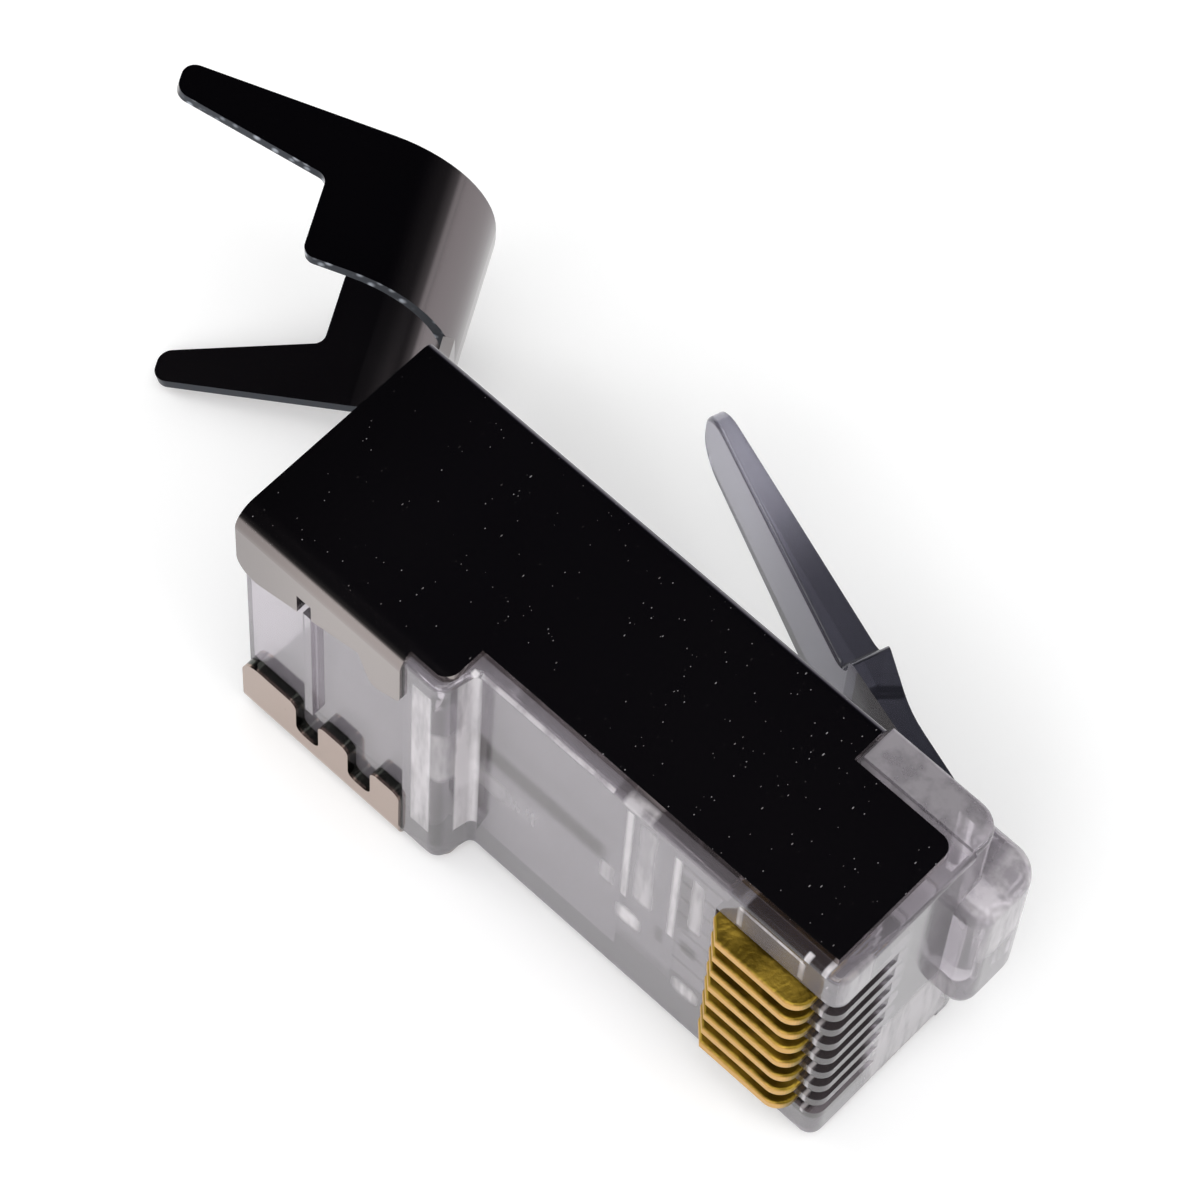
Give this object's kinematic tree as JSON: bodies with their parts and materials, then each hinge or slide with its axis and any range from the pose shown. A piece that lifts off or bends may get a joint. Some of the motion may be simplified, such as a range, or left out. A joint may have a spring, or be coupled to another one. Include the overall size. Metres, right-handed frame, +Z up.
{
  "type": "modular plug",
  "caption": "Shielded modular network plug: clear body, gold contacts raised above their slots, hinged press latch and an outside claw that clamps the cable.",
  "frame": {"origin": "on the outer face of the side plate the plug lies on, at the step between rear block and nose and at the middle of the nose's height", "axes": "+X towards the nose that enters the jack, +Y towards the latch side, -Y the contact side, +Z up across the row of contacts"},
  "size_m": [0.034, 0.0142, 0.0117],
  "materials": {
    "nickel_shield": "bright nickel plating over thin folded copper-alloy sheet, finely scratched",
    "clear_plastic": "clear moulded polycarbonate",
    "gold_contact": "bright gold plating over copper alloy"
  },
  "bodies": {
    "plug": {"housing": "clear_plastic", "shield": "nickel_shield", "contact_1": "gold_contact", "contact_2": "gold_contact", "contact_3": "gold_contact", "contact_4": "gold_contact", "contact_5": "gold_contact", "contact_6": "gold_contact", "contact_7": "gold_contact", "contact_8": "gold_contact"},
    "latch": {"latch_lever": "clear_plastic"}
  },
  "joints": [
    {"name": "latch_hinge", "type": "hinge", "parent": "plug", "child": "latch", "pos_m": [0.01205, 0.0039, 0.00585], "axis": [0, 0, 1], "range_deg": [0, 15], "stiffness_Nm_per_rad": 0.05}
  ]
}
